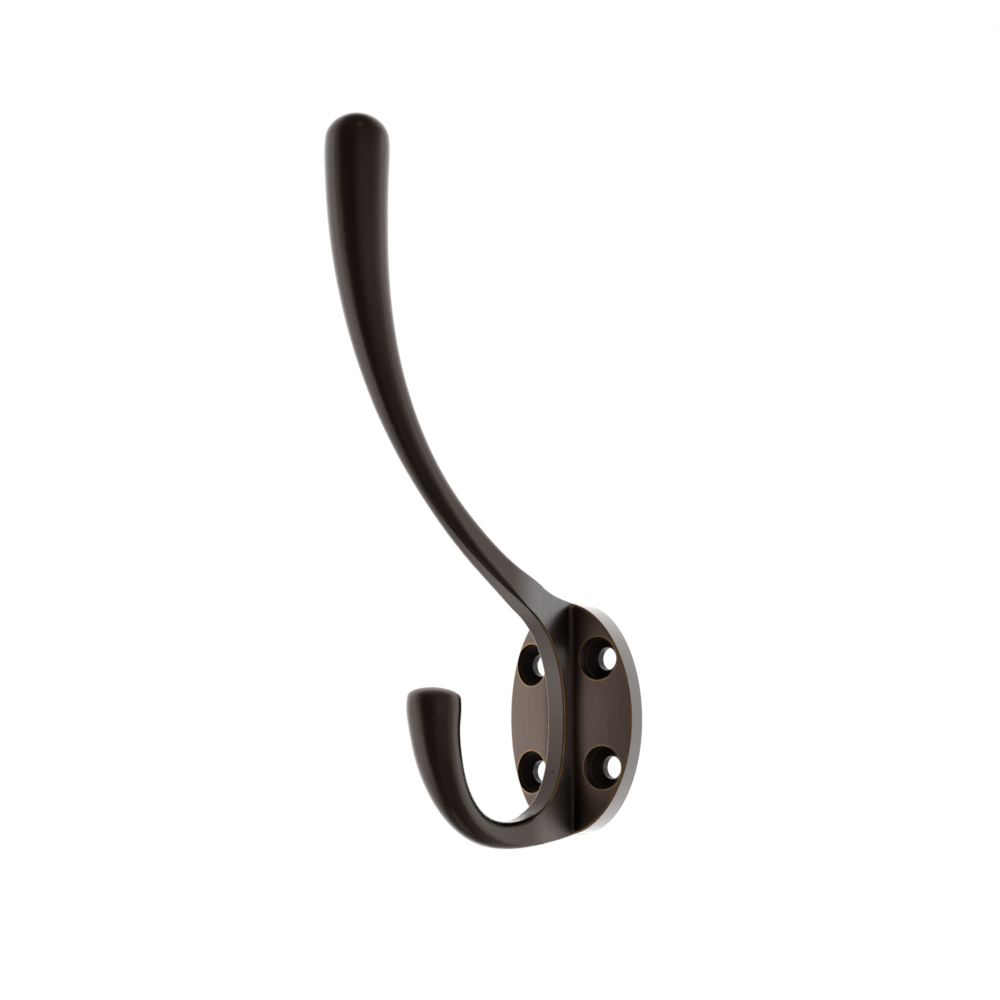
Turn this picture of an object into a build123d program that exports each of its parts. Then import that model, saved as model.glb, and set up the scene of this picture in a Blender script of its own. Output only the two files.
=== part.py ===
from build123d import *
import os
from math import acos, cos, radians, sin, sqrt, tan

# A hat and coat hook, cast in brass in one piece. Millimetres.
# The origin is the middle of the plate's back, which lies on the wall. The wall is the XZ plane, +Z is up
# and the hook stands out from the wall towards -Y.

# Back plate: an ellipse with a flat back and a face that is rounded from side to side
plate_width = 33.0
plate_height = 49.0
plate_side_thickness = 3.8
plate_middle_thickness = 5.7
plate_edge_round = 0.4

# Screw holes: a pair at each side of the rib. The right pair is drilled a little higher, and out of plumb
left_pair_across = -9.5
left_pair_up = 0.0
left_pair_spacing = 22.9
left_pair_slant = 0.0
right_pair_across = 9.2
right_pair_up = 1.1
right_pair_spacing = 22.8
right_pair_slant = 2.4
screw_bore = 4.8
screw_head_recess = 9.0
recess_depth = 1.3
countersink_angle = 90.0
drill_past = 1.0

# Rib: the straight-sided middle of the casting. Its front is a strip that bends out at both ends.
# A curve's pulls say how far it holds its heading at each end
rib_width = 4.6
rib_front_out = 8.3
rib_root_out = 3.0
rib_edge_round = 0.4
rib_root_round = 0.8
rib_below_plate_edge = 0.6
strip_up_start_pull = 8.3
strip_up_end_pull = 9.2
strip_down_start_pull = 8.7
strip_down_end_pull = 8.5
web_start_pull = 3.5
web_end_pull = 7.0

# Upper end of the rib, where the hat arm starts. Leans are in degrees from upright, away from the wall
upper_end_out = 18.3
upper_end_up = 21.5
upper_end_lean = 57.0
upper_end_depth = 6.7
upper_web_splay = 6.0
upper_web_landing = 101.0

# Lower end of the rib, where the coat hook starts
lower_end_out = 17.5
lower_end_down = 19.8
lower_end_lean = 112.0
lower_end_depth = 6.6
lower_web_splay = 13.0
lower_web_landing = 77.0

# Hat arm: a slim neck that swells to a round club with a domed end. Its line is its front
hat_front_out = 75.0
hat_top = 116.9
hat_lean = -0.7
hat_start_pull = 18.7
hat_end_pull = 60.1
hat_neck = 5.55
hat_neck_at = 0.18
hat_club = 12.5
hat_swell = 1.6
hat_dome_height = 5.6
hat_section_step = 8.5

# Coat hook: the same, bent up in a U. Its line is the inside of the bend
coat_inside_out = 40.9
coat_top = 5.5
coat_lean = -3.9
coat_start_pull = 11.6
coat_end_pull = 21.9
coat_neck = 5.15
coat_neck_at = 0.23
coat_club = 10.5
coat_swell = 1.33
coat_dome_height = 2.0
coat_section_step = 4.8

# Arms turn from square-edged to round over a share of their length. A round section keeps flats, as shares
# of its width
round_from = 0.33
round_flat = 0.04
dome_flat = 0.1
dome_sections = 7


def side(out, up):
    """A point in the middle plane, by its distance from the wall and its height."""
    return Vector(0, -out, up)


def heading(lean):
    """A direction in the middle plane, leaning away from the wall by an angle from upright."""
    return Vector(0, -sin(radians(lean)), cos(radians(lean)))


def curve(start, start_lean, start_pull, end, end_lean, end_pull):
    """A smooth curve between two points, with a heading and a pull at each."""
    return Bezier(start, start + heading(start_lean) * start_pull, end - heading(end_lean) * end_pull, end)


def smooth(share):
    """Rises from 0 to 1 with no kink at either end."""
    share = min(max(share, 0.0), 1.0)
    return share * share * (3 - 2 * share)


# The plate's face is part of a cylinder that stands upright
plate_rise = plate_middle_thickness - plate_side_thickness
plate_face_radius = ((plate_width / 2) ** 2 + plate_rise ** 2) / (2 * plate_rise)

# The front of the rib, from its middle up and down, and the lines that the two arms follow on from it
rib_middle = side(rib_front_out, 0)
upper_end = side(upper_end_out, upper_end_up)
lower_end = side(lower_end_out, -lower_end_down)
upper_back = upper_end + heading(upper_end_lean - 90) * upper_end_depth
lower_back = lower_end + heading(lower_end_lean + 90) * lower_end_depth
hat_tip = side(hat_front_out, hat_top - hat_dome_height)
coat_tip = side(coat_inside_out, coat_top - coat_dome_height)
strip_up = curve(rib_middle, 0, strip_up_start_pull, upper_end, upper_end_lean, strip_up_end_pull)
strip_down = curve(rib_middle, 180, strip_down_start_pull, lower_end, lower_end_lean, strip_down_end_pull)
hat_line = curve(upper_end, upper_end_lean, hat_start_pull, hat_tip, hat_lean, hat_end_pull)
coat_line = curve(lower_end, lower_end_lean, coat_start_pull, coat_tip, coat_lean, coat_end_pull)


def face_out(across):
    """How far the plate's face stands out from the wall, at a distance from its middle line."""
    return plate_middle_thickness - plate_face_radius + sqrt(plate_face_radius ** 2 - across ** 2)


def back_plate():
    blank = extrude(Plane.XZ * Ellipse(plate_width / 2, plate_height / 2), plate_middle_thickness)
    face_middle = Pos(0, plate_face_radius - plate_middle_thickness, 0)
    plate = blank & face_middle * Cylinder(plate_face_radius, plate_height)
    front = plate.faces().sort_by(Axis.Y)[0]
    return fillet(front.edges(), plate_edge_round)


def rib():
    """The flat-sided body between the plate and the two arms, with its long edges eased."""
    web_end = plate_height / 2 - rib_below_plate_edge
    plate_top = side(rib_root_out, web_end)
    plate_bottom = side(rib_root_out, -web_end)
    top_lean = upper_end_lean + 180 + upper_web_splay
    bottom_lean = lower_end_lean - 180 - lower_web_splay
    web_top = curve(upper_back, top_lean, web_start_pull, plate_top, -upper_web_landing, web_end_pull)
    web_low = curve(lower_back, bottom_lean, web_start_pull, plate_bottom, -lower_web_landing, web_end_pull)
    outline = [
        strip_up,
        Line(upper_end, upper_back),
        web_top,
        Line(plate_top, plate_bottom),
        web_low,
        Line(lower_back, lower_end),
        strip_down,
    ]
    body = extrude(Pos(-rib_width / 2, 0, 0) * make_face(outline), rib_width, dir=(1, 0, 0))
    long_edges = ShapeList()
    for line in (strip_up, web_top, web_low, strip_down):
        for x in (-rib_width / 2, rib_width / 2):
            long_edges.append(body.edges().sort_by_distance(line @ 0.5 + Vector(x, 0, 0))[0])
    return fillet(long_edges, rib_edge_round)


def rooted(plate, middle):
    """The rib on the plate, with the corners between them eased."""
    body = plate + middle
    corners = ShapeList()
    for x in (-rib_width / 2, rib_width / 2):
        corners.append(body.edges().sort_by_distance((x, -face_out(x), 0))[0])
    return fillet(corners, rib_root_round)


def round_square(size):
    return RectangleRounded(size, size, size * (1 - round_flat) / 2)


def arm(start_face, line, facing, start_depth, neck, neck_at, club, swell, section_step, dome_height):
    """Lofts an arm from an end of the rib to a round club with a domed end.

    The line runs along one side of the arm, and facing says on which side of it the arm's depth lies.
    """
    faces = [start_face]
    sections = round(line.length / section_step)
    for i in range(1, sections + 1):
        at = i / sections
        fall = max(1 - at / neck_at, 0.0) ** 2
        rise = smooth(at ** swell)
        depth = neck + (start_depth - neck) * fall + (club - neck) * rise
        width = rib_width + (club - rib_width) * rise
        round_corner = min(width, depth) * (1 - round_flat) / 2
        corner = rib_edge_round + (round_corner - rib_edge_round) * min(at / round_from, 1.0)
        plane = Plane(origin=line @ at, x_dir=(1, 0, 0), z_dir=(line % at) * facing)
        faces.append(plane * Pos(0, depth / 2) * RectangleRounded(width, depth, corner))
    for i in range(1, dome_sections + 1):
        turn = acos(dome_flat) * i / dome_sections
        middle = Pos(0, club / 2, facing * dome_height * sin(turn))
        faces.append(plane * middle * round_square(club * cos(turn)))
    return loft(faces)


def screw_hole(across, up):
    """A drilled hole with a sunk seat for a screw head, as a solid to cut away."""
    seat_top = face_out(across) - recess_depth
    cone_depth = (screw_head_recess - screw_bore) / 2 / tan(radians(countersink_angle / 2))
    outline = Polyline(
        (0, -drill_past),
        (screw_bore / 2, -drill_past),
        (screw_bore / 2, seat_top - cone_depth),
        (screw_head_recess / 2, seat_top),
        (screw_head_recess / 2, plate_middle_thickness),
        (0, plate_middle_thickness),
        close=True,
    )
    cutter = revolve(Plane.XZ * make_face(outline), Axis.Z)
    return Pos(across, 0, up) * Rot(90, 0, 0) * cutter


def hole_pair(across, up, spacing, slant):
    """Two screw holes, one above the other, on a line that slants from upright."""
    step_across = spacing / 2 * sin(radians(slant))
    step_up = spacing / 2 * cos(radians(slant))
    return [screw_hole(across - step_across, up + step_up), screw_hole(across + step_across, up - step_up)]


plate = back_plate()
middle = rib()
hat_arm = arm(
    start_face=middle.faces().sort_by_distance((upper_end + upper_back) / 2)[0],
    line=hat_line,
    facing=1,
    start_depth=upper_end_depth,
    neck=hat_neck,
    neck_at=hat_neck_at,
    club=hat_club,
    swell=hat_swell,
    section_step=hat_section_step,
    dome_height=hat_dome_height,
)
coat_arm = arm(
    start_face=middle.faces().sort_by_distance((lower_end + lower_back) / 2)[0],
    line=coat_line,
    facing=-1,
    start_depth=lower_end_depth,
    neck=coat_neck,
    neck_at=coat_neck_at,
    club=coat_club,
    swell=coat_swell,
    section_step=coat_section_step,
    dome_height=coat_dome_height,
)
left_pair = hole_pair(left_pair_across, left_pair_up, left_pair_spacing, left_pair_slant)
right_pair = hole_pair(right_pair_across, right_pair_up, right_pair_spacing, right_pair_slant)
hook = rooted(plate, middle) + hat_arm + coat_arm - left_pair - right_pair

os.makedirs("parts", exist_ok=True)
export_step(hook, "parts/hook.step")
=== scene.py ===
from math import cos, radians
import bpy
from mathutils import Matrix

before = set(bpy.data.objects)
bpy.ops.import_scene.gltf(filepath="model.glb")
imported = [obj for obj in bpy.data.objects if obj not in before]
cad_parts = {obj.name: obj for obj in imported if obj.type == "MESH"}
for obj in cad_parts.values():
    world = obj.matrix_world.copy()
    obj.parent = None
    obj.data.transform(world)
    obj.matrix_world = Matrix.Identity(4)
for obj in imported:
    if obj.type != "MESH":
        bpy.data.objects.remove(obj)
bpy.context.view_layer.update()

from types import SimpleNamespace

import bpy
from mathutils import Vector

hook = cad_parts["hook"]

# Camera, in metres, where the photograph was taken from: in front, to the right and level with the plate
camera_place = Vector((0.26208, -0.32819, -0.00242))
camera_aim = Vector((0.0, -0.02634, 0.04481))
camera_clip_start = 0.01
camera_lens_mm = 69.98
camera_sensor_mm = 36.0

# Floor, in metres. It lies as far down as a hook hangs above a floor
floor_drop = 1.5
floor_half_width = 0.35

# Sizes of the hook that the finish follows, in millimetres
mm_per_metre = 1000.0
plate_half_width = 16.5
plate_half_height = 24.5
rib_half_width = 2.3
rib_edge_round = 0.4
seat_radius = 4.5
bore_radius = 2.4
hole_places = ((-9.5, 11.45), (-9.5, -11.45), (8.72, 12.49), (9.68, -10.29))

# Colours, as linear red, green and blue
white = (1.0, 1.0, 1.0)
floor_paint = (0.9, 0.9, 0.9)
arm_bronze = (0.056, 0.048, 0.043)
strip_bronze = (0.072, 0.062, 0.057)
# painted light for the top of the coat hook
tip_painted_light = (0.14, 0.118, 0.105)
plate_bronze = (0.143, 0.106, 0.09)
# a painted highlight for the rib's upper sides
upper_side_painted_highlight = (0.148, 0.15, 0.152)
lower_side_bronze = (0.14, 0.126, 0.12)
back_bronze = (0.075, 0.058, 0.049)
# painted highlights for the plate's rim, whiter at its ends
rim_painted_highlight = (0.155, 0.151, 0.151)
rim_end_painted_highlight = (0.3, 0.295, 0.295)
worn_brass = (0.3, 0.193, 0.075)
seat_black = (0.014, 0.011, 0.01)
seat_ring_brown = (0.045, 0.034, 0.027)
# painted shade and painted glints for the bores
bore_painted_shade = (0.022, 0.022, 0.022)
bore_painted_glint = (0.16, 0.16, 0.155)
pit_dark = (0.025, 0.019, 0.016)

# Zones of the finish. Places are in millimetres: across from the middle plane, forward from the wall, up
# from the middle of the plate. Facing is 1 where the surface faces a way squarely, 0 where it is edge-on and
# -1 where it faces the other way. A pair is a fade, from its start to its end. Three numbers are a band: its
# middle, its half width and its soft border

# The plate, with its rim, its back, the corners beside the rib, where shade is painted, and its low end.
# Reach is 1 at its outline
plate_forward = (6.6, 6.7)
plate_across = (rib_half_width, rib_half_width + 0.05)
face_facing_front = (0.75, 0.95)
edge_reach = (0.92, 0.95)
# The rim carries a painted highlight, whiter towards its ends
rim_facing_front = (0.15, 0.5)
rim_end_up = (8.0, 22.0)
back_facing_front = -0.9
back_forward = 0.1
turned_back_facing_front = -0.5
# The corners beside the rib carry painted shade
corner_facing_front = (0.1, 0.4)
corner_across = (3.2, 6.4)
# The plate's low end is darker
low_end_up = (-20.0, -13.0)

# The sides of the rib, with their root on the plate and a painted highlight on their upper part, and the
# strip along its front
side_facing_side = (0.9, 0.98)
side_across = (2.8, 3.2)
side_forward = (16.0, 26.0)
upper_side_up = (12.0, 18.0)
lower_side_forward = (10.0, 20.0)
middle_side_up_band = (0.0, 8.0, 8.0)
# The rib's root low down is darker
side_root_forward = (5.5, 12.0)
side_root_up = (-14.0, -7.0)
strip_facing_front = (0.4, 0.7)
strip_forward = (16.0, 24.0)

# The top of the coat hook, with painted light on it as if lit from above
tip_facing_up = (0.0, 1.0)
tip_forward = (38.0, 40.0)
tip_below = 10.0

# The screw holes, by the distance from a hole's middle
seat_reach = seat_radius - 0.01
seat_wall_reach = seat_radius + 0.05
seat_wall_facing_front = 0.5
seat_ring_band = (seat_radius - 0.25, 0.1, 0.1)
seat_ring_facing_front_band = (0.7, 0.04, 0.02)
bore_reach = bore_radius + 0.03

# The worn edges
seat_rim_band = (seat_radius + 0.1, 0.16, 0.12)
plate_edge_facing_front_band = (0.72, 0.2, 0.1)
rib_edge_across_band = (rib_half_width - rib_edge_round / 2, 0.25, 0.05)
rib_edge_facing_side_band = (0.65, 0.25, 0.12)
rib_edge_facing_front = (0.1, 0.3)
rib_edge_forward = (13.0, 19.0)

# Textures. A noise has a scale per millimetre, a detail and a roughness, and levels cut patches out of it
cloud_noise = (0.06, 3.0, 0.5)
grain_noise = (2.5, 2.0, 0.5)
brush_stretch = (3.2, 3.2, 0.09)
brush_noise = (1.0, 4.0, 0.6)
wear_noise = (0.35, 2.0, 0.5)
wear_levels = (0.35, 0.6)
bore_glint_noise = (0.7, 2.0, 0.5)
bore_glint_levels = (0.5, 0.75)
pit_noise = (0.9, 1.0, 0.5)
pit_levels = (0.68, 0.72)
pit_below = -11.0
pit_across = 7.0

# How much the textures, the painted shade in the plate's corners and the darkening low down change the
# colour, and how much wear there is between worn patches
base_tone = 0.82
cloud_tone = 0.3
grain_tone = 0.06
brush_tone = 0.6
corner_painted_shade = 0.64
low_end_darkening = 0.3
side_root_darkening = 0.6
least_wear = 0.4

# Sheen: how much of the metal a dull film hides, how rough the surface is, and how high its bumps stand
dull_film = 0.34
middle_side_film = 0.5
base_roughness = 0.2
cloud_roughness = 0.08
dull_roughness = 0.15
brush_roughness = 0.12
grain_bump = 0.25
pit_bump = 2.0
bump_strength = 0.05
bump_distance = 0.0001

# The room that the metal mirrors, as levels by azimuth. Azimuths are in degrees, 0 straight out from the wall
# and 90 to the right. Height is 0 at eye level and 1 straight up or down
room_at_eye_level = (
    (-180, 0.95), (-60, 0.94), (-42, 0.86), (-34, 0.58), (-26, 0.33), (-16, 0.13), (-4, 0.07), (30, 0.065),
    (50, 0.17), (70, 0.25), (90, 0.24), (105, 0.25), (120, 0.34), (135, 0.66), (150, 0.9), (180, 0.95))
room_high_and_low = (
    (-180, 0.4), (-150, 0.55), (-80, 0.5), (-50, 0.4), (-30, 0.22), (-10, 0.09), (30, 0.08), (50, 0.15),
    (100, 0.12), (140, 0.2), (165, 0.5), (180, 0.4))
room_at_poles = 0.1
high_and_low_height = (0.35, 0.95)
pole_height = (0.72, 0.95)
room_light = 2.0
full_turn = 360

# At its left the room's white slants, and at its right the room darkens sooner, going up and down. Its sides
# fade in by how far to the left or the right a direction points, and its right ends by how far back
room_side = (0.0, 0.3)
left_slant = 0.5
right_end = (0.45, 0.95)
right_sooner = 0.25
right_sooner_by_height = 0.5

# How much green and blue the darkest shade of the room keeps beside its red
shade_green = 0.78
shade_blue = 0.69

# A small lamp in the room: the way to it, its level, and its soft edge in degrees from its middle
small_lamp = (0.45, -0.26, 0.854)
small_lamp_level = 0.45
small_lamp_edge = (9.0, 3.0)


class Nodes:
    """Short names for building a node tree. A mask is 1 in its zone and 0 outside it."""

    def __init__(self, tree):
        self.tree = tree
        tree.nodes.clear()

    def add(self, kind, inputs=None, **settings):
        node = self.tree.nodes.new(kind)
        for name, value in settings.items():
            setattr(node, name, value)
        for key, value in (inputs or {}).items():
            self.put(node.inputs[key], value)
        return node

    def put(self, socket, value):
        if isinstance(value, bpy.types.NodeSocket):
            self.tree.links.new(value, socket)
        elif socket.type == "RGBA":
            socket.default_value = (*value, 1.0)
        else:
            socket.default_value = value

    def math(self, operation, a, b=0.0, c=0.0):
        return self.add("ShaderNodeMath", {0: a, 1: b, 2: c}, operation=operation).outputs[0]

    def chain(self, operation, values):
        result = values[0]
        for value in values[1:]:
            result = self.math(operation, result, value)
        return result

    def squares(self, a, b):
        return self.math("ADD", self.math("MULTIPLY", a, a), self.math("MULTIPLY", b, b))

    def parts(self, vector):
        return self.add("ShaderNodeSeparateXYZ", {0: vector}).outputs

    def scaled(self, vector, factor):
        inputs = {"Vector": vector, "Scale": factor}
        return self.add("ShaderNodeVectorMath", operation="SCALE", inputs=inputs).outputs[0]

    def stretched(self, vector, factors):
        inputs = {0: vector, 1: factors}
        return self.add("ShaderNodeVectorMath", operation="MULTIPLY", inputs=inputs).outputs[0]

    def noise(self, place, shape):
        scale, detail, roughness = shape
        inputs = {"Vector": place, "Scale": scale, "Detail": detail, "Roughness": roughness}
        return self.add("ShaderNodeTexNoise", inputs).outputs[0]

    def rise(self, value, fade):
        """0 before a fade, 1 after it, smooth between."""
        start, end = fade
        inputs = {"Value": value, "From Min": start, "From Max": end}
        return self.add("ShaderNodeMapRange", inputs, interpolation_type="SMOOTHSTEP").outputs[0]

    def fall(self, value, fade):
        """1 before a fade, 0 after it, smooth between."""
        return self.outside(self.rise(value, fade))

    def band(self, value, shape):
        """1 within a half width of a middle, fading out over a soft border."""
        middle, half_width, border = shape
        off = self.math("ABSOLUTE", self.math("SUBTRACT", value, middle))
        return self.fall(off, (half_width, half_width + border))

    def below(self, value, limit):
        return self.math("LESS_THAN", value, limit)

    def above(self, value, limit):
        return self.math("GREATER_THAN", value, limit)

    def outside(self, mask):
        return self.math("SUBTRACT", 1.0, mask)

    def all_of(self, *masks):
        return self.chain("MULTIPLY", masks)

    def any_of(self, *masks):
        return self.chain("MAXIMUM", masks)

    def mix(self, share, a, b):
        node = self.add("ShaderNodeMix", data_type="RGBA")
        under, over = [socket for socket in node.inputs if socket.type == "RGBA"]
        self.put(node.inputs[0], share)
        self.put(under, a)
        self.put(over, b)
        return [socket for socket in node.outputs if socket.type == "RGBA"][0]

    def layered(self, colour, *layers):
        """A colour with others laid over it in turn, each within its mask."""
        for mask, over in layers:
            colour = self.mix(mask, colour, over)
        return colour


def surface(nodes):
    """A point's place in millimetres, and how far its surface faces the front, a side and up."""
    place = nodes.scaled(nodes.add("ShaderNodeTexCoord").outputs["Object"], mm_per_metre)
    x, y, z = nodes.parts(place)
    normal_x, normal_y, normal_z = nodes.parts(nodes.add("ShaderNodeNewGeometry").outputs["Normal"])
    return SimpleNamespace(
        place=place,
        x=x,
        across=nodes.math("ABSOLUTE", x),
        forward=nodes.math("MULTIPLY", y, -1.0),
        up=z,
        facing_front=nodes.math("MULTIPLY", normal_y, -1.0),
        facing_side=nodes.math("ABSOLUTE", normal_x),
        facing_up=normal_z,
    )


def plate_zones(nodes, at):
    """The plate, with painted shade in its corners beside the rib and a darker low end. Low is all that lies
    no further forward than the plate.
    """
    low = nodes.fall(at.forward, plate_forward)
    all_over = nodes.all_of(low, nodes.rise(at.across, plate_across))
    face = nodes.all_of(all_over, nodes.rise(at.facing_front, face_facing_front))
    share_across = nodes.math("DIVIDE", at.x, plate_half_width)
    share_up = nodes.math("DIVIDE", at.up, plate_half_height)
    edge = nodes.all_of(all_over, nodes.rise(nodes.squares(share_across, share_up), edge_reach))
    beside_rib = nodes.fall(at.across, corner_across)
    on_wall = nodes.below(at.forward, back_forward)
    return SimpleNamespace(
        low=low,
        face=face,
        edge=edge,
        rim=nodes.all_of(edge, nodes.fall(nodes.math("ABSOLUTE", at.facing_front), rim_facing_front)),
        rim_end_highlight=nodes.rise(nodes.math("ABSOLUTE", at.up), rim_end_up),
        back=nodes.all_of(nodes.below(at.facing_front, back_facing_front), on_wall),
        not_back=nodes.above(at.facing_front, turned_back_facing_front),
        corner=nodes.all_of(all_over, nodes.rise(at.facing_front, corner_facing_front), beside_rib),
        low_end=nodes.all_of(face, nodes.fall(at.up, low_end_up)),
    )


def rib_zones(nodes, at, plate):
    """The sides of the rib, which run on into the arms, with a painted highlight on their upper part, and the
    strip along its front.
    """
    faces_side = nodes.rise(at.facing_side, side_facing_side)
    by_rib = nodes.fall(at.across, side_across)
    side = nodes.all_of(faces_side, by_rib, nodes.fall(at.forward, side_forward))
    near_plate = nodes.fall(at.forward, lower_side_forward)
    highlit_upper_side = nodes.all_of(side, nodes.rise(at.up, upper_side_up))
    lower_side = nodes.all_of(side, near_plate, nodes.outside(highlit_upper_side))
    at_root = nodes.fall(at.forward, side_root_forward)
    faces_front = nodes.rise(at.facing_front, strip_facing_front)
    return SimpleNamespace(
        side=side,
        near_plate=near_plate,
        highlit_upper_side=highlit_upper_side,
        lower_side=lower_side,
        middle_side=nodes.all_of(lower_side, nodes.band(at.up, middle_side_up_band)),
        # the rib's root low down, which is darker
        side_root=nodes.all_of(side, at_root, nodes.fall(at.up, side_root_up)),
        strip=nodes.all_of(faces_front, nodes.fall(at.forward, strip_forward), nodes.outside(plate.low)),
    )


def hole_zones(nodes, at, plate):
    """The screw holes: the seats, a paler ring in each seat and the bores, which carry painted shade with
    painted glints in patches.
    """
    distances = []
    for hole_x, hole_up in hole_places:
        off_x = nodes.math("SUBTRACT", at.x, hole_x)
        off_up = nodes.math("SUBTRACT", at.up, hole_up)
        distances.append(nodes.math("SQRT", nodes.squares(off_x, off_up)))
    from_hole = nodes.chain("MINIMUM", distances)
    steep = nodes.below(at.facing_front, seat_wall_facing_front)
    seat_wall = nodes.all_of(nodes.below(from_hole, seat_wall_reach), steep)
    in_seat = nodes.any_of(nodes.below(from_hole, seat_reach), seat_wall)
    in_ring = nodes.band(from_hole, seat_ring_band)
    ring_slope = nodes.band(at.facing_front, seat_ring_facing_front_band)
    return SimpleNamespace(
        rim=nodes.all_of(nodes.band(from_hole, seat_rim_band), plate.face),
        seat=nodes.all_of(in_seat, plate.low, plate.not_back),
        seat_ring=nodes.all_of(in_ring, ring_slope, plate.low),
        bore=nodes.all_of(nodes.below(from_hole, bore_reach), plate.low),
    )


# The top of the coat hook, where its colour paints light falling from above
def coat_hook_lit_top(nodes, at):
    faces_up = nodes.rise(at.facing_up, tip_facing_up)
    return nodes.all_of(faces_up, nodes.rise(at.forward, tip_forward), nodes.below(at.up, tip_below))


def worn_edges(nodes, at, plate, hole):
    """Where brass shows: round the seats, at the plate's edge and along the rib's edges, in patches."""
    plate_edge = nodes.all_of(plate.edge, nodes.band(at.facing_front, plate_edge_facing_front_band))
    rib_edge = nodes.all_of(
        nodes.band(at.across, rib_edge_across_band),
        nodes.fall(at.forward, rib_edge_forward),
        nodes.rise(at.facing_front, rib_edge_facing_front),
        nodes.band(at.facing_side, rib_edge_facing_side_band),
        nodes.outside(plate.low),
    )
    patches = nodes.rise(nodes.noise(at.place, wear_noise), wear_levels)
    wear = nodes.math("MULTIPLY_ADD", patches, 1 - least_wear, least_wear)
    return nodes.math("MULTIPLY", nodes.any_of(hole.rim, plate_edge, rib_edge), wear)


def finish_textures(nodes, at, plate, rib):
    """Slow clouds and fine grain all over, brush lines on the plate and the rib, and casting pits."""
    low_down = nodes.below(at.up, pit_below)
    pit_zone = nodes.all_of(rib.near_plate, low_down, nodes.below(at.across, pit_across), plate.not_back)
    pit_spots = nodes.rise(nodes.noise(at.place, pit_noise), pit_levels)
    return SimpleNamespace(
        clouds=nodes.noise(at.place, cloud_noise),
        grain=nodes.noise(at.place, grain_noise),
        brush=nodes.noise(nodes.stretched(at.place, brush_stretch), brush_noise),
        brushed=nodes.any_of(plate.face, rib.side),
        pits=nodes.all_of(pit_spots, pit_zone),
    )


def finish_tone(nodes, plate, rib, texture):
    """How light the bronze is: cloudy, grained, brushed, with painted shade in the plate's corners beside the
    rib, and darker at the plate's low end and at the rib's root low down.
    """
    clouds = nodes.math("MULTIPLY_ADD", texture.clouds, cloud_tone, base_tone)
    tone = nodes.math("ADD", clouds, nodes.math("MULTIPLY", texture.grain, grain_tone))
    brush = nodes.math("MULTIPLY_ADD", texture.brush, brush_tone, -brush_tone / 2)
    tone = nodes.math("MULTIPLY", tone, nodes.math("MULTIPLY_ADD", texture.brushed, brush, 1.0))
    # painted shade in the plate's corners beside the rib; the plate's low end and the rib's root low down are
    # darker
    shade_and_darkening = nodes.math("MULTIPLY", plate.low_end, low_end_darkening)
    shade_and_darkening = nodes.math("MULTIPLY_ADD", plate.corner, corner_painted_shade, shade_and_darkening)
    shade_and_darkening = nodes.math("MULTIPLY_ADD", rib.side_root, side_root_darkening, shade_and_darkening)
    return nodes.math("MULTIPLY", tone, nodes.outside(shade_and_darkening))


def bronze_finish():
    """Brass with a dark brown finish, duller on the plate, low on the rib's sides and on top of the coat
    hook. Some light and shade is painted into its colour.
    """
    material = bpy.data.materials.new("bronze_finish")
    material.use_nodes = True
    nodes = Nodes(material.node_tree)
    at = surface(nodes)
    plate = plate_zones(nodes, at)
    rib = rib_zones(nodes, at, plate)
    hole = hole_zones(nodes, at, plate)
    lit_top = coat_hook_lit_top(nodes, at)
    texture = finish_textures(nodes, at, plate, rib)
    dull = nodes.any_of(nodes.all_of(plate.low, nodes.outside(plate.rim)), rib.lower_side, lit_top)

    bronze = nodes.layered(
        arm_bronze,
        (rib.strip, strip_bronze),
        (dull, plate_bronze),
        # painted light on top of the coat hook
        (lit_top, tip_painted_light),
        (rib.lower_side, lower_side_bronze),
        # a painted highlight on the rib's upper sides
        (rib.highlit_upper_side, upper_side_painted_highlight),
        # a painted highlight on the plate's rim, whiter towards its ends
        (plate.rim, nodes.mix(plate.rim_end_highlight, rim_painted_highlight, rim_end_painted_highlight)),
        (plate.back, back_bronze),
    )
    # the bores are painted dark as shade, with painted glints in noise patches
    bore_glint_patches = nodes.rise(nodes.noise(at.place, bore_glint_noise), bore_glint_levels)
    colour = nodes.layered(
        nodes.scaled(bronze, finish_tone(nodes, plate, rib, texture)),
        (texture.pits, pit_dark),
        (worn_edges(nodes, at, plate, hole), worn_brass),
        (hole.seat, seat_black),
        (hole.seat_ring, seat_ring_brown),
        (hole.bore, nodes.mix(bore_glint_patches, bore_painted_shade, bore_painted_glint)),
    )

    metallic = nodes.math("MULTIPLY_ADD", dull, -dull_film, 1.0)
    metallic = nodes.math("MULTIPLY_ADD", rib.middle_side, -middle_side_film, metallic)
    smooth = nodes.math("MULTIPLY_ADD", texture.clouds, cloud_roughness, base_roughness)
    rough = nodes.math("MULTIPLY_ADD", texture.brush, brush_roughness, dull_roughness)
    roughness = nodes.math("MULTIPLY_ADD", dull, rough, smooth)

    lines = nodes.math("MULTIPLY", texture.brushed, texture.brush)
    height = nodes.math("MULTIPLY_ADD", texture.grain, grain_bump, lines)
    height = nodes.math("MULTIPLY_ADD", texture.pits, -pit_bump, height)
    bump = nodes.add("ShaderNodeBump", {
        "Strength": bump_strength, "Distance": bump_distance, "Height": height})

    shader = nodes.add("ShaderNodeBsdfPrincipled", {
        "Base Color": colour, "Metallic": metallic, "Roughness": roughness, "Normal": bump.outputs[0]})
    nodes.add("ShaderNodeOutputMaterial", {"Surface": shader.outputs[0]})
    return material


def warm_grey(level):
    """White at 1, and warmer the darker it is."""
    green = shade_green + (1 - shade_green) * level
    blue = shade_blue + (1 - shade_blue) * level
    return (level, level * green, level * blue)


def room_ramp(nodes, share, levels):
    """The room's colour all round, from pairs of azimuth and level."""
    ramp = nodes.add("ShaderNodeValToRGB", {0: share})
    elements = ramp.color_ramp.elements
    elements[0].position = 0.0
    elements[1].position = 1.0
    for azimuth, _ in levels[1:-1]:
        elements.new(azimuth / full_turn + 0.5)
    for element, (_, level) in zip(elements, levels):
        element.color = (*warm_grey(level), 1.0)
    return ramp.outputs[0]


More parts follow.
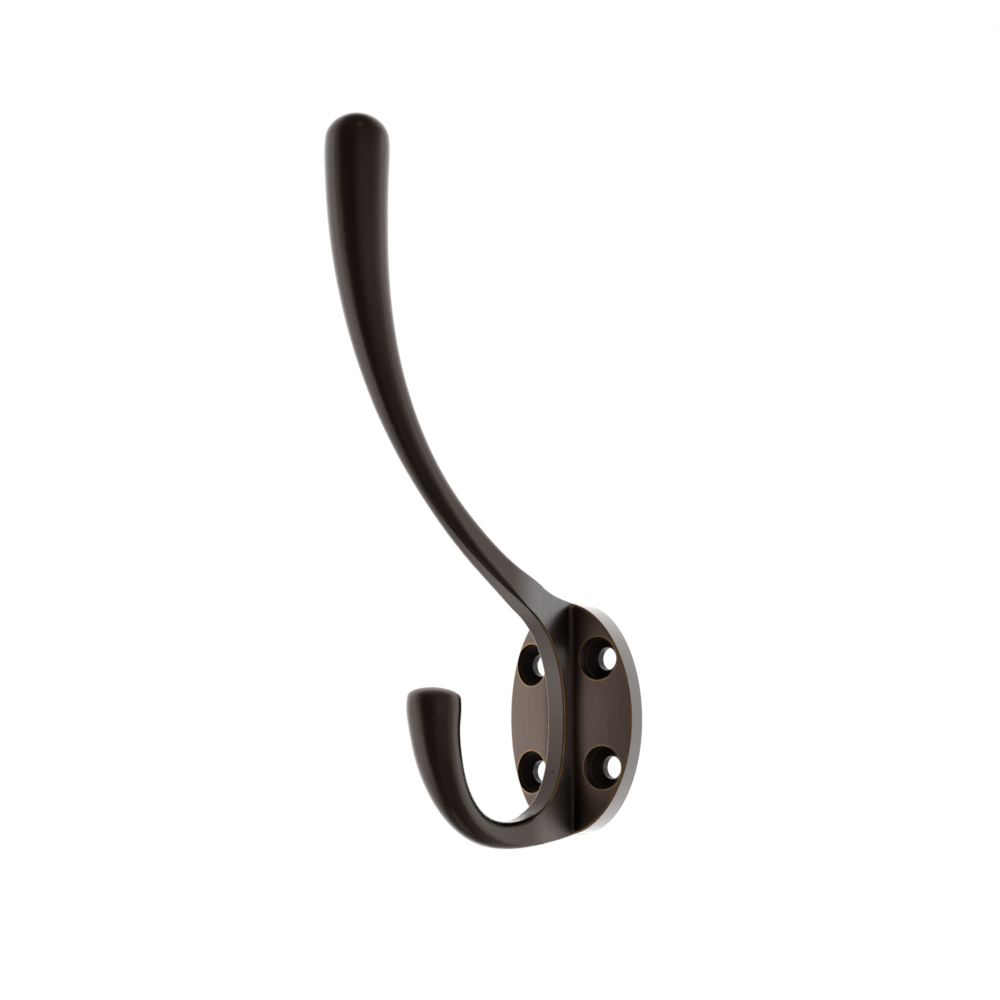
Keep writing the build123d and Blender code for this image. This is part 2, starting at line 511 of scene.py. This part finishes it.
def studio_world():
    """White all round to the camera. The metal mirrors white at its left and behind it, and a dark front."""
    world = bpy.data.worlds.new("studio")
    world.use_nodes = True
    bpy.context.scene.world = world
    nodes = Nodes(world.node_tree)
    way = nodes.add("ShaderNodeTexCoord").outputs["Generated"]
    x, y, z = nodes.parts(way)
    height = nodes.math("ABSOLUTE", z)

    # at the left, the white reaches further round low down than high up
    left = nodes.rise(nodes.math("MULTIPLY", x, -1.0), room_side)
    turn = nodes.math("ARCTAN2", x, nodes.math("MULTIPLY", y, -1.0))
    turn = nodes.math("MULTIPLY_ADD", nodes.math("MULTIPLY", left, z), left_slant, turn)
    share = nodes.math("MULTIPLY_ADD", turn, 1 / radians(full_turn), 0.5)

    # at the right, the room darkens sooner, going up and down
    right = nodes.all_of(nodes.rise(x, room_side), nodes.fall(y, right_end))
    sooner = nodes.math("MULTIPLY_ADD", height, right_sooner_by_height, right_sooner)
    shaded_height = nodes.math("MULTIPLY_ADD", right, sooner, height)
    high_or_low = nodes.rise(shaded_height, high_and_low_height)
    to_lamp = nodes.add("ShaderNodeVectorMath", {0: way, 1: small_lamp}, operation="DOT_PRODUCT")
    lamp = nodes.rise(to_lamp.outputs["Value"], [cos(radians(angle)) for angle in small_lamp_edge])
    room = nodes.layered(
        room_ramp(nodes, share, room_at_eye_level),
        (high_or_low, room_ramp(nodes, share, room_high_and_low)),
        (nodes.rise(height, pole_height), warm_grey(room_at_poles)),
        (lamp, warm_grey(small_lamp_level)),
    )

    by_camera = nodes.add("ShaderNodeLightPath").outputs["Is Camera Ray"]
    colour = nodes.mix(by_camera, nodes.scaled(room, room_light), white)
    background = nodes.add("ShaderNodeBackground", {"Color": colour, "Strength": 1.0})
    nodes.add("ShaderNodeOutputWorld", {"Surface": background.outputs[0]})


def floor_finish():
    """Pale paint, white to the camera as the rest of the room is."""
    material = bpy.data.materials.new("pale_floor")
    material.use_nodes = True
    nodes = Nodes(material.node_tree)
    paint = nodes.add("ShaderNodeBsdfDiffuse", {"Color": floor_paint})
    glow = nodes.add("ShaderNodeEmission", {"Color": white, "Strength": 1.0})
    by_camera = nodes.add("ShaderNodeLightPath").outputs["Is Camera Ray"]
    both = nodes.add("ShaderNodeMixShader", {0: by_camera, 1: paint.outputs[0], 2: glow.outputs[0]})
    nodes.add("ShaderNodeOutputMaterial", {"Surface": both.outputs[0]})
    return material


def pale_floor():
    mesh = bpy.data.meshes.new("floor")
    near, far = -floor_half_width, floor_half_width
    outline = ((near, near), (far, near), (far, far), (near, far))
    mesh.from_pydata([(x, y, -floor_drop) for x, y in outline], [], [(0, 1, 2, 3)])
    mesh.materials.append(floor_finish())
    floor = bpy.data.objects.new("floor", mesh)
    bpy.context.scene.collection.objects.link(floor)


def photograph_camera():
    lens = bpy.data.cameras.new("camera")
    lens.lens = camera_lens_mm
    lens.sensor_width = camera_sensor_mm
    lens.clip_start = camera_clip_start
    camera = bpy.data.objects.new("camera", lens)
    camera.location = camera_place
    camera.rotation_euler = (camera_aim - camera_place).to_track_quat("-Z", "Y").to_euler()
    bpy.context.scene.collection.objects.link(camera)
    bpy.context.scene.camera = camera


bpy.context.scene.view_settings.view_transform = "Standard"
hook.data.materials.clear()
hook.data.materials.append(bronze_finish())
studio_world()
pale_floor()
photograph_camera()
